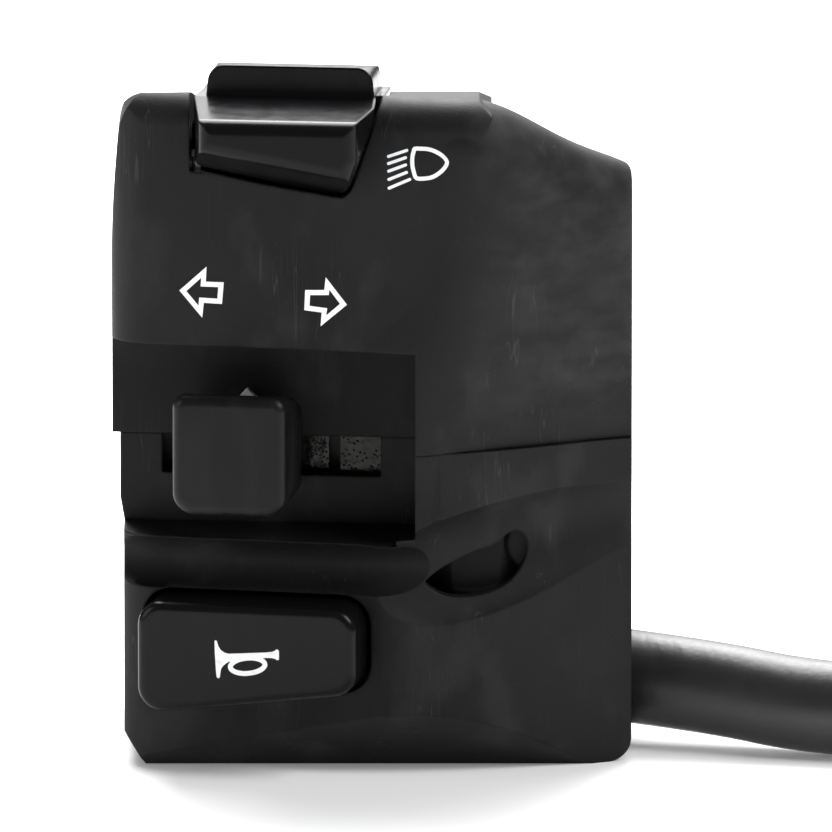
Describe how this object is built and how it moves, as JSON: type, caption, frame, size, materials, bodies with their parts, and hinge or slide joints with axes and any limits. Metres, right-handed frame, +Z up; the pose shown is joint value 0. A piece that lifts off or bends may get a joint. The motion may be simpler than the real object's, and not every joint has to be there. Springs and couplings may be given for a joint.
{
  "type": "handlebar switch cluster",
  "caption": "Left handlebar switch cluster in two plastic halves, with a dimmer rocker, a sliding turn knob, a horn button and a sleeved harness.",
  "frame": {"origin": "on the handlebar's axis, halfway along the housing, in the plane where its two halves meet", "axes": "+X along the bar towards the right end of the housing, -Y towards the rider, +Z up"},
  "size_m": [0.1464, 0.1238, 0.0724],
  "materials": {
    "housing_plastic": "fine moulded texture",
    "gloss_black": "polished",
    "satin_black": "satin",
    "white_nylon": "satin",
    "zinc_steel": "zinc plated",
    "spring_steel": "bright drawn",
    "greased_steel": "greased",
    "brass": "bright",
    "board": "pressed board",
    "grommet_rubber": "matt",
    "sleeve_vinyl": "soft vinyl",
    "lead_insulation": "thin wall insulation",
    "connector_nylon": "satin"
  },
  "bodies": {
    "housing": {"upper_shell": "housing_plastic", "lower_shell": "housing_plastic", "housing_screws": "zinc_steel", "unit_screws": "zinc_steel", "dimmer_base": "board", "dimmer_contacts": "brass", "rocker_pin": "zinc_steel", "turn_board": "board", "turn_strips": "brass", "turn_channel": "greased_steel", "horn_base": "board", "horn_fixed_contact": "brass", "horn_spring": "spring_steel", "inner_leads": "lead_insulation", "outlet_grommet": "grommet_rubber", "harness_sleeve": "sleeve_vinyl", "tail_leads": "lead_insulation", "connector_housing": "connector_nylon", "connector_terminals": "brass"},
    "rocker": {"dimmer_rocker": "gloss_black", "rocker_plunger": "white_nylon", "rocker_spring": "spring_steel"},
    "bridge": {"dimmer_bridge": "brass"},
    "carriage": {"turn_carriage": "white_nylon", "turn_slide_plate": "greased_steel", "turn_lever": "white_nylon", "turn_wiper": "brass", "turn_detent_ball": "spring_steel", "turn_detent_spring": "spring_steel", "cancel_spring": "spring_steel"},
    "knob": {"turn_knob": "satin_black", "knob_pin": "zinc_steel"},
    "horn": {"horn_button": "gloss_black", "horn_moving_contact": "brass"}
  },
  "joints": [
    {"name": "rocker_tilt", "type": "hinge", "parent": "housing", "child": "rocker", "pos_m": [-0.00785, -0.0218, 0.027], "axis": [0.9925, -0.1219, 0], "range_deg": [-10, 0]},
    {"name": "bridge_tilt", "type": "hinge", "parent": "housing", "child": "bridge", "pos_m": [-0.00785, -0.0218, 0.01775], "axis": [0.9925, -0.1219, 0], "range_deg": [0, 10]},
    {"name": "turn_slide", "type": "slide", "parent": "housing", "child": "carriage", "axis": [0.9945, -0.1045, 0], "range_m": [-0.006, 0.006]},
    {"name": "cancel_push", "type": "slide", "parent": "carriage", "child": "knob", "axis": [0.1045, 0.9945, 0], "range_m": [0, 0.0018], "stiffness_N_per_m": 400, "springref_m": -0.001, "deforming": ["cancel_spring"]},
    {"name": "horn_press", "type": "slide", "parent": "housing", "child": "horn", "axis": [0.2079, 0.9781, 0], "range_m": [0, 0.0025], "stiffness_N_per_m": 600, "springref_m": -0.001, "deforming": ["horn_spring"]}
  ],
  "couplings": [
    {"joint": "bridge_tilt", "follows": "rocker_tilt", "ratio": -1}
  ]
}
